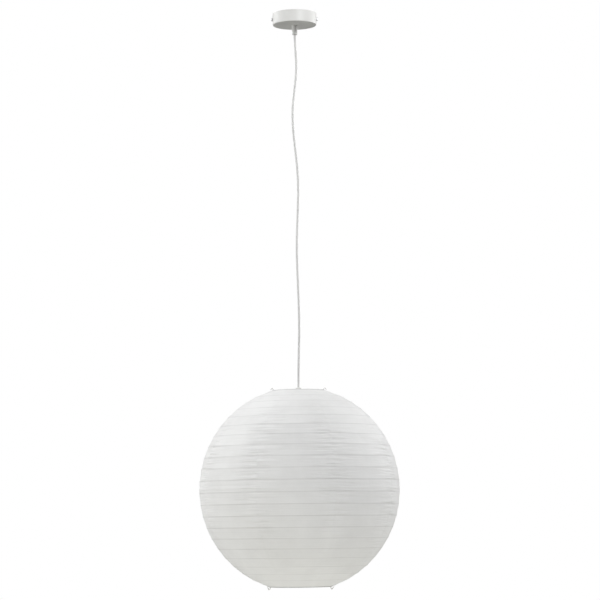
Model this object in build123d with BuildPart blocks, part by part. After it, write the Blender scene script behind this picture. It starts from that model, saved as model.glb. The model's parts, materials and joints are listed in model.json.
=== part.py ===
"""Accordion paper lantern on a pendant cord, hung from a round ceiling rose.

Millimetres, +Z up. The origin is the middle of the rose where it meets the ceiling, so it all hangs in -Z.
X runs left to right in the plane of the wire spreader, and +Y points away from the front.
"""

import os
from math import asin, atan2, cos, pi, sin, sqrt

from build123d import *

# ---------------------------------------------------------------- driving dimensions
OVERALL_DROP = 1300.0  # ceiling to the bottom rim ring

# Shade: two half ellipsoids on one circle, cut off by the two openings
SHADE_RADIUS = 225.0
UPPER_RISE = 229.0  # semi-height of the upper half
LOWER_DROP = 227.0  # semi-height of the lower half
TOP_OPENING_RADIUS = 59.0  # to the middle of the rim ring's wire
BOTTOM_OPENING_RADIUS = 70.0
HOOP_COUNT = 20
END_BAND_RATIO = 1.55  # the first and last paper bands are this much wider than the others
RIM_WIRE = 1.25  # wire radii
HOOP_WIRE = 0.7
PAPER_THICKNESS = 0.4
PAPER_GAP = 0.1  # between the paper and the wires it is glued over

# Ceiling rose
ROSE_RADIUS = 50.0
ROSE_HEIGHT = 27.0
ROSE_WALL = 1.0
ROSE_EDGE = 2.0
SIDE_SCREW_Z = -13.0
STRAP_THICKNESS = 1.5
STRAP_WIDTH = 20.0
TAB_WIDTH = 12.0
TAB_LENGTH = 19.0
TAB_OUTER_X = 48.2
SLOT_SPACING = 56.0
SLOT_LENGTH = 14.0
SLOT_RADIUS = 2.5
CABLE_HOLE_RADIUS = 8.0
M4_RADIUS = 1.95
M4_BORE = 2.0
M3_RADIUS = 1.5
M3_BORE = 1.55

# Cord and its grip
CORD_RADIUS = 2.5
CORD_BORE = 2.6
GRIP_LENGTH = 22.0
GRIP_RADIUS = 6.3
GRIP_TAPER = 1.5  # degrees
GRIP_FLANGE_RADIUS = 7.0
GRIP_FLANGE = 3.0
GRIP_SCREW_DROP = 13.0  # below the rose
NIPPLE_RADIUS = 4.95
NIPPLE_RISE = 13.0  # above the rose's underside
WASHER_RADIUS = 9.0
WASHER_THICKNESS = 0.8
GRIP_NUT_RADIUS = 8.1  # across the corners
GRIP_NUT_HEIGHT = 4.0
CORD_TOP_Z = -12.0  # the sheath ends here, inside the rose
CORD_WAVES = (  # (drop below the grip, sideways, front to back): the set the cord keeps from its coil
    (77, 2.6, 0.8),
    (171, -6.4, -1.5),
    (320, 3.3, 1.5),
    (477, -0.2, -1.0),
    (652, 3.1, 0.6),
)
CONDUCTOR_RADIUS = 1.1

# Terminal block, beside the cable hole
POLE_PITCH = 11.0
BLOCK_WIDTH = 16.0
BLOCK_Y = 22.0
TUBE_DROP = 6.5  # ceiling to the middle of the brass tubes
TUBE_RADIUS = 2.4
TUBE_BORE = 1.5
BLOCK_BASE = 5.0  # thickness of its foot under the strap
BARREL_RADIUS = 4.0  # the plastic round each tube
TOWER_DROP = 13.0  # foot to the ends of the screw towers
TOWER_RADIUS = 2.7
TOWER_BORE = 1.8
CLAMP_SCREW_RADIUS = 1.2

# Lampholder
HOLDER_STANDS_PROUD = 7.5  # its cap above the top rim
NECK_RADIUS = 6.5
CAP_HEIGHT = 36.0
SKIRT_RADIUS = 19.5
SKIRT_BORE = 17.2
SKIRT_LENGTH = 36.0
COLLAR_RADIUS = 22.6
COLLAR_THICKNESS = 2.5
LAMP_THREAD_RADIUS = 13.35  # E27
LAMP_THREAD_LENGTH = 20.0
SKIRT_THREAD_PITCH = 3.0
SKIRT_THREAD_DEPTH = 0.6
SKIRT_THREAD_LENGTH = 26.0
NUT_RADIUS = 26.0
NUT_HEIGHT = 8.0

# Wire spreader
SPREADER_WIRE = 1.1
HOOK_SPREAD = 4.1  # from the rim to each foot of a hook
HOOK_RISE = 8.2  # how far a hook's sharp corner would stand beyond the rim
HOOK_FOOT = 2.7  # its outer end passes clear of the rim ring when the leg is squeezed in
HOOK_BEND = 1.3
RIM_CLEARANCE = 0.5  # leaves room for the paper's hem round the rim rings
RUN_CLEARANCE = 0.15
SHOULDER_DROP = 12.0  # top rim to where the legs start to flex

# ---------------------------------------------------------------- derived places
HOOP_RADIUS = SHADE_RADIUS - HOOP_WIRE - PAPER_GAP - PAPER_THICKNESS
BOTTOM_RIM_Z = -OVERALL_DROP
EQUATOR_Z = BOTTOM_RIM_Z + LOWER_DROP * sqrt(1 - (BOTTOM_OPENING_RADIUS / HOOP_RADIUS) ** 2)
TOP_RIM_Z = EQUATOR_Z + UPPER_RISE * sqrt(1 - (TOP_OPENING_RADIUS / HOOP_RADIUS) ** 2)
GRIP_END_Z = -ROSE_HEIGHT - GRIP_LENGTH
SWING_Z = GRIP_END_Z - 1.0  # the cord bends here as the lamp swings
CAP_TOP_Z = TOP_RIM_Z + HOLDER_STANDS_PROUD
TILT_Z = CAP_TOP_Z + 0.5  # and here as the holder tilts
CAP_END_Z = CAP_TOP_Z - CAP_HEIGHT
COLLAR_END_Z = CAP_END_Z - COLLAR_THICKNESS
SKIRT_END_Z = CAP_END_Z - SKIRT_LENGTH
HANGER_RADIUS = SKIRT_RADIUS + 0.3 + SPREADER_WIRE
HANGER_Z = COLLAR_END_Z - RUN_CLEARANCE - SPREADER_WIRE
NUT_TOP_Z = HANGER_Z - SPREADER_WIRE - RUN_CLEARANCE
SOCKET_MOUTH_Z = SKIRT_END_Z + 2.5
SOCKET_FLOOR_Z = SOCKET_MOUTH_Z + LAMP_THREAD_LENGTH + 4.0
REST_GAP = RIM_WIRE + SPREADER_WIRE + RIM_CLEARANCE  # centre of a rim ring to centre of the wire it rests on
EARTH_X = CABLE_HOLE_RADIUS + 6.5  # the earth screw, beside the cable hole
GRIP_SCREW_Z = -ROSE_HEIGHT - GRIP_SCREW_DROP

os.makedirs("parts", exist_ok=True)


def save(piece, name):
    """Names a finished piece and writes it as its own STEP file."""
    piece.part.label = name
    export_step(piece.part, f"parts/{name}.step")


def rod(line, radius):
    """A round rod of that radius along a line."""
    with BuildPart() as swept:
        with BuildSketch(Plane(origin=line @ 0, z_dir=line % 0)):
            Circle(radius)
        sweep(path=line)
    return swept.part


def wire_circle(ring_radius, z, radius):
    """A closed ring of round wire about the Z axis."""
    with BuildPart() as ring:
        with BuildSketch(Plane.YZ):
            with Locations((ring_radius, z)):
                Circle(radius)
        revolve(axis=Axis.Z)
    return ring.part


# ================================================================ ceiling rose
with BuildPart() as bracket:
    with BuildSketch(Plane.XY):
        Rectangle(2 * TAB_OUTER_X, TAB_WIDTH)
        Rectangle(2 * TAB_OUTER_X - 8, STRAP_WIDTH)
        with Locations((0, BLOCK_Y / 2 + 4)):
            RectangleRounded(18, BLOCK_Y + 8, 2)
        Circle(CABLE_HOLE_RADIUS, mode=Mode.SUBTRACT)
        with GridLocations(SLOT_SPACING, 0, 2, 1):
            SlotOverall(SLOT_LENGTH, 2 * SLOT_RADIUS, mode=Mode.SUBTRACT)
    extrude(amount=-STRAP_THICKNESS)
    tab_x = TAB_OUTER_X - STRAP_THICKNESS / 2
    with BuildSketch(Plane.XY):
        with GridLocations(2 * tab_x, 0, 2, 1):
            Rectangle(STRAP_THICKNESS, TAB_WIDTH)
    extrude(amount=-TAB_LENGTH)
    tab_corners = bracket.edges().filter_by(Axis.X).group_by(Axis.Z)[0]
    fillet(tab_corners, 3)
    with BuildSketch(Plane.YZ):
        with Locations((0, SIDE_SCREW_Z)):
            Circle(M4_BORE)
    extrude(amount=TAB_OUTER_X + 1, both=True, mode=Mode.SUBTRACT)
    with Locations((POLE_PITCH / 2, BLOCK_Y), (EARTH_X, 0)):
        Hole(M3_BORE)
save(bracket, "ceiling_bracket")

with BuildPart() as rose:
    with BuildSketch(Plane.XY):
        Circle(ROSE_RADIUS)
    extrude(amount=-ROSE_HEIGHT)
    fillet(rose.faces().sort_by(Axis.Z)[0].edges(), ROSE_EDGE)
    offset(amount=-ROSE_WALL, openings=rose.faces().sort_by(Axis.Z)[-1])
    Hole(NIPPLE_RADIUS + 0.15)
    with BuildSketch(Plane.YZ):
        with Locations((0, SIDE_SCREW_Z)):
            Circle(M4_BORE + 0.3)
    extrude(amount=ROSE_RADIUS, both=True, mode=Mode.SUBTRACT)
save(rose, "rose_cup")


def pan_head_screw(head_radius, head_height, shank_radius, shank_length):
    """A cross-recess screw, head up, with the origin under its head."""
    with BuildPart() as screw:
        Cylinder(head_radius, head_height, align=(Align.CENTER, Align.CENTER, Align.MIN))
        fillet(screw.faces().sort_by(Axis.Z)[-1].edges(), 0.6 * head_height)
        Cylinder(shank_radius, shank_length, align=(Align.CENTER, Align.CENTER, Align.MAX))
        with BuildSketch(Plane.XY.offset(head_height)):
            Rectangle(1.2 * head_radius, 0.25 * head_radius)
            Rectangle(0.25 * head_radius, 1.2 * head_radius)
        extrude(amount=-0.5 * head_height, mode=Mode.SUBTRACT)
    return screw.part


rose_screw = pan_head_screw(4.0, 2.8, M4_RADIUS, 7.0)
with BuildPart() as side_screws:
    for side in (-1, 1):
        seat = Plane(origin=(side * (ROSE_RADIUS + 0.05), 0, SIDE_SCREW_Z), z_dir=(side, 0, 0))
        add(seat * rose_screw)
save(side_screws, "side_screws")

with BuildPart() as grip:
    with BuildSketch(Plane.XY.offset(-ROSE_HEIGHT)):
        Circle(GRIP_FLANGE_RADIUS)
    extrude(amount=-GRIP_FLANGE)
    with BuildSketch(Plane.XY.offset(-ROSE_HEIGHT)):
        Circle(GRIP_RADIUS)
    extrude(amount=-GRIP_LENGTH, taper=GRIP_TAPER)
    chamfer(grip.faces().sort_by(Axis.Z)[0].edges(), 0.6)
    with BuildSketch(Plane.XY.offset(-ROSE_HEIGHT)):
        Circle(NIPPLE_RADIUS)
    extrude(amount=NIPPLE_RISE)
    with BuildSketch(Plane.XY.offset(GRIP_END_Z)):
        Circle(CORD_BORE)
    extrude(amount=GRIP_LENGTH + NIPPLE_RISE, mode=Mode.SUBTRACT)
    with BuildSketch(Plane.XZ):
        with Locations((0, GRIP_SCREW_Z)):
            Circle(M4_BORE)
    extrude(amount=-8, mode=Mode.SUBTRACT)
save(grip, "cord_grip")

GRIP_SCREW_LENGTH = 4.2
with BuildPart() as grip_screw:
    with BuildSketch(Plane.XZ.offset(-CORD_BORE)):
        with Locations((0, GRIP_SCREW_Z)):
            Circle(M4_RADIUS)
    extrude(amount=-GRIP_SCREW_LENGTH)
    with BuildSketch(Plane.XZ.offset(-CORD_BORE - GRIP_SCREW_LENGTH)):
        with Locations((0, GRIP_SCREW_Z)):
            Rectangle(2 * M4_RADIUS + 0.1, 0.7)
    extrude(amount=1.2, mode=Mode.SUBTRACT)
save(grip_screw, "grip_screw")

with BuildPart() as lock_washer:
    with BuildSketch(Plane.XY.offset(-ROSE_HEIGHT + ROSE_WALL)):
        Circle(WASHER_RADIUS)
        with PolarLocations(WASHER_RADIUS, 12):
            Circle(0.8, mode=Mode.SUBTRACT)
        Circle(NIPPLE_RADIUS + 0.2, mode=Mode.SUBTRACT)
    extrude(amount=WASHER_THICKNESS)
save(lock_washer, "lock_washer")

with BuildPart() as grip_nut:
    with BuildSketch(Plane.XY.offset(-ROSE_HEIGHT + ROSE_WALL + WASHER_THICKNESS)):
        RegularPolygon(GRIP_NUT_RADIUS, 6)
        Circle(NIPPLE_RADIUS + 0.05, mode=Mode.SUBTRACT)
    extrude(amount=GRIP_NUT_HEIGHT)
save(grip_nut, "grip_nut")

# ---------------------------------------------------------------- terminal block and its wiring
BLOCK_LENGTH = 3 * POLE_PITCH
BLOCK_TOP = -STRAP_THICKNESS
SCREW_OFFSET = 4.0  # of the two clamp screws from the middle of a tube
TOWER_END = BLOCK_TOP - TOWER_DROP
POLES_X = [POLE_PITCH * i for i in (-1, 0, 1)]
CLAMPS = [(x, BLOCK_Y + side * SCREW_OFFSET) for x in POLES_X for side in (-1, 1)]

with BuildPart() as terminal_block:
    with BuildSketch(Plane.XY.offset(BLOCK_TOP)):
        with Locations((0, BLOCK_Y)):
            RectangleRounded(BLOCK_LENGTH, BLOCK_WIDTH, 1)
    extrude(amount=-BLOCK_BASE)
    with BuildSketch(Plane.XZ.offset(-(BLOCK_Y - BLOCK_WIDTH / 2))):
        with Locations(*[(x, -TUBE_DROP) for x in POLES_X]):
            Circle(BARREL_RADIUS)
    extrude(amount=-BLOCK_WIDTH)
    with BuildSketch(Plane.XY.offset(-TUBE_DROP)):
        with Locations(*CLAMPS):
            Circle(TOWER_RADIUS)
    extrude(amount=TOWER_END + TUBE_DROP)
    with BuildSketch(Plane.XZ.offset(-(BLOCK_Y - BLOCK_WIDTH / 2))):
        with Locations(*[(x, -TUBE_DROP) for x in POLES_X]):
            Circle(TUBE_RADIUS + 0.1)
    extrude(amount=-BLOCK_WIDTH, mode=Mode.SUBTRACT)
    with BuildSketch(Plane.XY.offset(-TUBE_DROP)):
        with Locations(*CLAMPS):
            Circle(TOWER_BORE)
    extrude(amount=TOWER_END + TUBE_DROP, mode=Mode.SUBTRACT)
    with BuildSketch(Plane.XY.offset(BLOCK_TOP)):
        with Locations((POLE_PITCH / 2, BLOCK_Y)):
            Circle(M3_RADIUS + 0.1)
    extrude(amount=-12, mode=Mode.SUBTRACT)
    with BuildSketch(Plane.XY.offset(BLOCK_TOP - BLOCK_BASE)):
        with Locations((POLE_PITCH / 2, BLOCK_Y)):
            Circle(2.75)
    extrude(amount=-8, mode=Mode.SUBTRACT)
save(terminal_block, "terminal_block")

with BuildPart() as terminal_tubes:
    with BuildSketch(Plane.XZ.offset(-(BLOCK_Y - BLOCK_WIDTH / 2 + 1))):
        with Locations(*[(x, -TUBE_DROP) for x in POLES_X]):
            Circle(TUBE_RADIUS)
            Circle(TUBE_BORE, mode=Mode.SUBTRACT)
    extrude(amount=-(BLOCK_WIDTH - 2))
    with BuildSketch(Plane.XY.offset(-TUBE_DROP)):
        with Locations(*CLAMPS):
            Circle(1.3)
    extrude(amount=-TUBE_RADIUS - 1, mode=Mode.SUBTRACT)
save(terminal_tubes, "terminal_tubes")

with BuildPart() as terminal_screws:
    with BuildSketch(Plane.XY.offset(-TUBE_DROP - CONDUCTOR_RADIUS - 0.1)):
        with Locations(*CLAMPS):
            Circle(CLAMP_SCREW_RADIUS)
    extrude(amount=-5.5)
    with BuildSketch(Plane.XY.offset(-TUBE_DROP - CONDUCTOR_RADIUS - 5.6)):
        with Locations(*CLAMPS):
            Rectangle(2.6, 0.5)
    extrude(amount=0.8, mode=Mode.SUBTRACT)
save(terminal_screws, "terminal_screws")

with BuildPart() as block_screw:
    seat = Plane(origin=(POLE_PITCH / 2, BLOCK_Y, BLOCK_TOP - BLOCK_BASE - 0.05), z_dir=(0, 0, -1))
    add(seat * pan_head_screw(2.55, 1.8, M3_RADIUS, 5.9))
save(block_screw, "block_screw")


def conductor(start, start_direction, bend_end, end, name):
    """One insulated wire: it leaves start along a direction, bends to bend_end and runs straight to end."""
    straight = [b - a for a, b in zip(bend_end, end)]
    with BuildPart() as wire:
        with BuildLine() as path:
            Spline(start, bend_end, tangents=(start_direction, straight))
            Line(bend_end, end)
        add(rod(path.line, CONDUCTOR_RADIUS))
    save(wire, name)


LUG_Z = -STRAP_THICKNESS - 0.9
BLOCK_FRONT = BLOCK_Y - BLOCK_WIDTH / 2
WIRE_STARTS = (
    ("live_wire", (-1.2, 0, CORD_TOP_Z + 0.1), (0, 0, 1)),
    ("neutral_wire", (1.2, 0, CORD_TOP_Z + 0.1), (0, 0, 1)),
    ("earth_wire", (EARTH_X, 6.2, LUG_Z - 0.9), (0.3, 1, -0.3)),
)
for pole_x, (name, start, start_direction) in zip(POLES_X, WIRE_STARTS):
    mouth = (pole_x, BLOCK_FRONT, -TUBE_DROP)
    conductor(start, start_direction, mouth, (pole_x, BLOCK_FRONT + 5, -TUBE_DROP), name)

with BuildPart() as earth_lug:
    with BuildSketch(Plane.XY.offset(LUG_Z)):
        with Locations((EARTH_X, 0)):
            Circle(3.6)
        with Locations((EARTH_X, 4.5)):
            Rectangle(3.2, 3.0)
        with Locations((EARTH_X, 0)):
            Circle(1.7, mode=Mode.SUBTRACT)
    extrude(amount=0.8)
save(earth_lug, "earth_lug")

with BuildPart() as earth_screw:
    seat = Plane(origin=(EARTH_X, 0, LUG_Z - 0.05), z_dir=(0, 0, -1))
    add(seat * pan_head_screw(3.0, 1.9, M3_RADIUS, 2.2))
save(earth_screw, "earth_screw")

# ================================================================ cord
with BuildPart() as cord_tail:
    with BuildSketch(Plane.XY.offset(CORD_TOP_Z)):
        Circle(CORD_RADIUS)
    extrude(amount=SWING_Z + CORD_RADIUS + 0.2 - CORD_TOP_Z)
save(cord_tail, "cord_in_rose")

with BuildPart() as cord:
    with BuildLine() as path:
        Spline(
            (0, 0, SWING_Z),
            *[(x, y, GRIP_END_Z - drop) for drop, x, y in CORD_WAVES],
            (0, 0, TILT_Z),
            tangents=((0, 0, -1), (0, 0, -1)),
        )
    add(rod(path.line, CORD_RADIUS))
    with Locations((0, 0, SWING_Z), (0, 0, TILT_Z)):
        Sphere(CORD_RADIUS)
save(cord, "pendant_cord")

with BuildPart() as cord_end:
    with BuildSketch(Plane.XY.offset(TILT_Z - CORD_RADIUS - 0.2)):
        Circle(CORD_RADIUS)
    extrude(amount=-14)
save(cord_end, "cord_in_holder")

# ================================================================ lampholder
DOME_TOP_Z = CAP_TOP_Z - 8
DOME_END_Z = CAP_TOP_Z - 28
CAP_WALL = 2.0
with BuildPart() as holder_cap:
    with BuildSketch(Plane.XZ):
        with BuildLine():
            Polyline((CORD_BORE, CAP_TOP_Z), (NECK_RADIUS, CAP_TOP_Z), (NECK_RADIUS, DOME_TOP_Z))
            Spline(
                (NECK_RADIUS, DOME_TOP_Z),
                (SKIRT_RADIUS, DOME_END_Z),
                tangents=((1, -0.5), (0, -1)),
            )
            Polyline(
                (SKIRT_RADIUS, DOME_END_Z),
                (SKIRT_RADIUS, CAP_END_Z),
                (SKIRT_RADIUS - CAP_WALL, CAP_END_Z),
                (SKIRT_RADIUS - CAP_WALL, DOME_END_Z),
            )
            Spline(
                (SKIRT_RADIUS - CAP_WALL, DOME_END_Z),
                (NECK_RADIUS - CAP_WALL, DOME_TOP_Z - CAP_WALL),
                tangents=((0, 1), (-1, 0.5)),
            )
            Polyline(
                (NECK_RADIUS - CAP_WALL, DOME_TOP_Z - CAP_WALL),
                (CORD_BORE, DOME_TOP_Z - CAP_WALL),
                (CORD_BORE, CAP_TOP_Z),
            )
        make_face()
    revolve(axis=Axis.Z)
    rim_edges = holder_cap.edges().filter_by(GeomType.CIRCLE).group_by(Axis.Z)[-1]
    fillet(rim_edges.sort_by(SortBy.RADIUS)[-1], 1.0)
save(holder_cap, "holder_cap")

SPIGOT_RISE = 6.0
with BuildPart() as holder_body:
    with BuildSketch(Plane.XY.offset(SKIRT_END_Z)):
        Circle(SKIRT_RADIUS)
    extrude(amount=SKIRT_LENGTH)
    with BuildSketch(Plane.XY.offset(COLLAR_END_Z)):
        Circle(COLLAR_RADIUS)
    extrude(amount=COLLAR_THICKNESS)
    chamfer(holder_body.faces().sort_by(Axis.Z)[-1].edges(), 0.6)
    with BuildSketch(Plane.XY.offset(CAP_END_Z)):
        Circle(SKIRT_RADIUS - CAP_WALL - 0.1)
    extrude(amount=SPIGOT_RISE)
    with BuildSketch(Plane.XY.offset(SKIRT_END_Z)):
        Circle(SKIRT_BORE)
    extrude(amount=SKIRT_LENGTH - 3, mode=Mode.SUBTRACT)
    with BuildSketch(Plane.XY.offset(SKIRT_END_Z)):
        Circle(14.5)
    extrude(amount=SKIRT_LENGTH + SPIGOT_RISE, mode=Mode.SUBTRACT)

with BuildPart() as skirt_groove:
    with BuildLine() as turns:
        Helix(
            pitch=SKIRT_THREAD_PITCH,
            height=SKIRT_THREAD_LENGTH,
            radius=SKIRT_RADIUS - SKIRT_THREAD_DEPTH,
            center=(0, 0, SKIRT_END_Z - SKIRT_THREAD_PITCH / 2),
        )
    with BuildSketch(Plane(origin=turns.line @ 0, x_dir=(1, 0, 0), z_dir=turns.line % 0)):
        flank = 2 * SKIRT_THREAD_DEPTH
        Polygon((0, 0), (flank, -0.4 * SKIRT_THREAD_PITCH), (flank, 0.4 * SKIRT_THREAD_PITCH), align=None)
    sweep(path=turns.line, is_frenet=True)

with BuildPart() as threaded_body:
    add(holder_body.part)
    add(skirt_groove.part, mode=Mode.SUBTRACT)
save(threaded_body, "holder_body")

INSERT_RADIUS = SKIRT_BORE - 0.2
SHELL_WALL = 0.5
INSERT_TOP_Z = SOCKET_FLOOR_Z + 6.0
with BuildPart() as insert:
    with BuildSketch(Plane.XY.offset(SOCKET_MOUTH_Z - 1)):
        Circle(INSERT_RADIUS)
    extrude(amount=INSERT_TOP_Z - SOCKET_MOUTH_Z + 1)
    chamfer(insert.faces().sort_by(Axis.Z)[0].edges(), 0.8)
    with BuildSketch(Plane.XY.offset(SOCKET_MOUTH_Z - 1)):
        Circle(LAMP_THREAD_RADIUS + SHELL_WALL + 0.1)
    extrude(amount=SOCKET_FLOOR_Z - SOCKET_MOUTH_Z + 1, mode=Mode.SUBTRACT)
    with Locations((-9, 0, INSERT_TOP_Z), (9, 0, INSERT_TOP_Z)):
        Hole(1.6)
save(insert, "socket_insert")

with BuildPart() as screw_shell:
    with BuildSketch(Plane.XY.offset(SOCKET_MOUTH_Z)):
        Circle(LAMP_THREAD_RADIUS + SHELL_WALL)
        Circle(LAMP_THREAD_RADIUS, mode=Mode.SUBTRACT)
    extrude(amount=LAMP_THREAD_LENGTH)
save(screw_shell, "lamp_screw_shell")

CONTACT_Z = SOCKET_FLOOR_Z - 0.3
with BuildPart() as centre_contact:
    with BuildSketch(Plane.XZ.offset(-2.5)):
        with BuildLine():
            Polyline((-7, CONTACT_Z), (-3.5, CONTACT_Z), (0.5, CONTACT_Z - 1.6), (2.5, CONTACT_Z - 1.0))
            offset(amount=0.25, side=Side.BOTH)
        make_face()
    extrude(amount=5)
    with Locations((-5.3, 0, SOCKET_FLOOR_Z)):
        Hole(0.9)
save(centre_contact, "centre_contact")

with BuildPart() as terminal_posts:
    with BuildSketch(Plane.XY.offset(INSERT_TOP_Z + 0.05)):
        with Locations((-9, 0), (9, 0)):
            Rectangle(5, 5.5)
    extrude(amount=5)
    with BuildSketch(Plane.XY.offset(INSERT_TOP_Z + 0.05)):
        with Locations((-9, 0), (9, 0)):
            Circle(1.5)
    extrude(amount=-5)
    with BuildSketch(Plane.XY.offset(INSERT_TOP_Z + 5.05)):
        with Locations((-9, 0), (9, 0)):
            Circle(1.25)
    extrude(amount=-3.5, mode=Mode.SUBTRACT)
save(terminal_posts, "holder_terminals")

cord_end_z = TILT_Z - CORD_RADIUS - 14.3
for side, name in ((-1, "holder_live_wire"), (1, "holder_neutral_wire")):
    clamp = (side * 9, 0, INSERT_TOP_Z + 2.6)
    conductor((side * 1.2, 0, cord_end_z), (0, 0, -1), (side * 9, 0, INSERT_TOP_Z + 5.5), clamp, name)

with BuildPart() as retaining_nut:
    with BuildSketch(Plane.XY.offset(NUT_TOP_Z)):
        Circle(NUT_RADIUS)
    extrude(amount=-2.2)
    with BuildSketch(Plane.XY.offset(NUT_TOP_Z)):
        Circle(NUT_RADIUS - 2)
    extrude(amount=-NUT_HEIGHT)
    with BuildSketch(Plane.XY.offset(NUT_TOP_Z)):
        Circle(SKIRT_RADIUS + 0.08)
    extrude(amount=-NUT_HEIGHT, mode=Mode.SUBTRACT)
    with BuildSketch(Plane.XY.offset(NUT_TOP_Z - 2.2)):
        with PolarLocations(NUT_RADIUS - 1.6, 24):
            Circle(1.0)
    extrude(amount=-NUT_HEIGHT + 2.2, mode=Mode.SUBTRACT)
save(retaining_nut, "retaining_nut")

# ================================================================ wire spreader
def hook(side, rim_radius, rim_z, up, run_to):
    """The wire that comes along the inside of a rim, peaks beyond it and ends outside it.

    side is -1 for left and 1 for right. up is 1 at the top rim and -1 at the bottom one.
    run_to is the wire's far end.
    """
    with BuildLine() as path:
        FilletPolyline(
            run_to,
            (side * (rim_radius - HOOK_SPREAD), 0, rim_z + up * 0.6),
            (side * rim_radius, 0, rim_z + up * HOOK_RISE),
            (side * (rim_radius + HOOK_SPREAD), 0, rim_z + up * HOOK_FOOT),
            radius=HOOK_BEND,
        )
    return rod(path.line, SPREADER_WIRE)


def shoulder(side):
    """Where a leg meets its top hook."""
    return (side * (TOP_OPENING_RADIUS - HOOK_SPREAD), 0, TOP_RIM_Z - SHOULDER_DROP)


with BuildPart() as hanger:
    add(wire_circle(HANGER_RADIUS, HANGER_Z, SPREADER_WIRE))
    for side in (-1, 1):
        with BuildLine() as arm:
            FilletPolyline(
                (side * HANGER_RADIUS, 0, HANGER_Z),
                (side * (COLLAR_RADIUS + 6), 0, HANGER_Z),
                (side * (TOP_OPENING_RADIUS - 7.5), 0, TOP_RIM_Z - REST_GAP),
                (side * (TOP_OPENING_RADIUS + 0.8), 0, TOP_RIM_Z - REST_GAP),
                radius=2.5,
            )
        add(rod(arm.line, SPREADER_WIRE))
        add(hook(side, TOP_OPENING_RADIUS, TOP_RIM_Z, 1, shoulder(side)))
save(hanger, "spreader_hanger")

for side, name in ((-1, "left"), (1, "right")):
    x, y, z = shoulder(side)
    with BuildPart() as leg:
        add(hook(side, BOTTOM_OPENING_RADIUS, BOTTOM_RIM_Z, -1, (x, y, z - 0.3)))
        with BuildLine() as stop:
            Line(
                (side * (BOTTOM_OPENING_RADIUS - 7.5), 0, BOTTOM_RIM_Z + REST_GAP),
                (side * (BOTTOM_OPENING_RADIUS + 0.8), 0, BOTTOM_RIM_Z + REST_GAP),
            )
        add(rod(stop.line, SPREADER_WIRE))
    save(leg, f"spreader_leg_{name}")


# ================================================================ paper shade
def rib_places():
    """(radius, z) of the top rim ring, every hoop and the bottom rim ring, from the top down."""
    first = asin(TOP_OPENING_RADIUS / HOOP_RADIUS)
    last = pi - asin(BOTTOM_OPENING_RADIUS / HOOP_RADIUS)
    step = (last - first) / (HOOP_COUNT - 1 + 2 * END_BAND_RATIO)
    angles = [first] + [first + step * (END_BAND_RATIO + i) for i in range(HOOP_COUNT)] + [last]
    rise = [UPPER_RISE if angle < pi / 2 else LOWER_DROP for angle in angles]
    return [(HOOP_RADIUS * sin(a), EQUATOR_Z + h * cos(a)) for a, h in zip(angles, rise)]


def skin_line(places, distances):
    """The places moved outward, square to the skin, each by its own distance, mitred at the corners."""
    headings = [atan2(z1 - z0, r1 - r0) + pi / 2 for (r0, z0), (r1, z1) in zip(places, places[1:])]
    line = []
    for i, ((r, z), distance) in enumerate(zip(places, distances)):
        above = headings[max(i - 1, 0)]
        below = headings[min(i, len(headings) - 1)]
        reach = distance / cos((above - below) / 2)
        line.append((r + reach * cos((above + below) / 2), z + reach * sin((above + below) / 2)))
    return line


RIBS = rib_places()
WIRES = [RIM_WIRE] + [HOOP_WIRE] * HOOP_COUNT + [RIM_WIRE]

for i, (rib_radius, rib_z) in enumerate(RIBS):
    name = "top_rim_ring" if i == 0 else "bottom_rim_ring" if i > HOOP_COUNT else f"hoop_{i:02d}"
    with BuildPart() as rib:
        add(wire_circle(rib_radius, rib_z, WIRES[i]))
    save(rib, name)

with BuildPart() as paper:
    with BuildSketch(Plane.XZ):
        with BuildLine():
            inside = skin_line(RIBS, [wire + PAPER_GAP for wire in WIRES])
            outside = skin_line(RIBS, [wire + PAPER_GAP + PAPER_THICKNESS for wire in WIRES])
            Polyline(*inside, *reversed(outside), close=True)
        make_face()
    revolve(axis=Axis.Z)
save(paper, "paper_shade")
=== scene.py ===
import json
import math

import bpy
import numpy as np
from mathutils import Euler, Matrix, Vector


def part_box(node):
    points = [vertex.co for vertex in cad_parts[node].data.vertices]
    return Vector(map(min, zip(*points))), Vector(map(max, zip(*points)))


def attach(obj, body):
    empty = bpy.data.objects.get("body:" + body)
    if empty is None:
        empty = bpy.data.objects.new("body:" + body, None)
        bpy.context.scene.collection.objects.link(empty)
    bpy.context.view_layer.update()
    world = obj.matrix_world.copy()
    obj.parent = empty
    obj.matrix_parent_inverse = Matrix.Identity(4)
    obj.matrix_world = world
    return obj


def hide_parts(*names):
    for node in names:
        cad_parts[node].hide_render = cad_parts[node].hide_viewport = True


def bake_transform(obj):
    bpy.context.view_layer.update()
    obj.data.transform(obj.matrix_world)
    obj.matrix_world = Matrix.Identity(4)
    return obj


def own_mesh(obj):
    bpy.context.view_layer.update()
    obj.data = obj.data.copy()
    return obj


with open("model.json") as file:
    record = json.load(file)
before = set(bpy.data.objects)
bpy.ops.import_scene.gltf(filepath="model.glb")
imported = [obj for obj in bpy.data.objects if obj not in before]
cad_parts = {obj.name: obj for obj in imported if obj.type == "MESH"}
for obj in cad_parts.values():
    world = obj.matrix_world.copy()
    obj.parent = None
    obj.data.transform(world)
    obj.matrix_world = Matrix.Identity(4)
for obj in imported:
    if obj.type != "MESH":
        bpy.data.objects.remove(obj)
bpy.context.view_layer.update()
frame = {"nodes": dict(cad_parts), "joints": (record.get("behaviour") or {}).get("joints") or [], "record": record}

MM = 0.001
SEED = 20
FULL_TURN = 2 * math.pi
HOOPS = [f"hoop_{i:02d}" for i in range(1, 21)]


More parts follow.
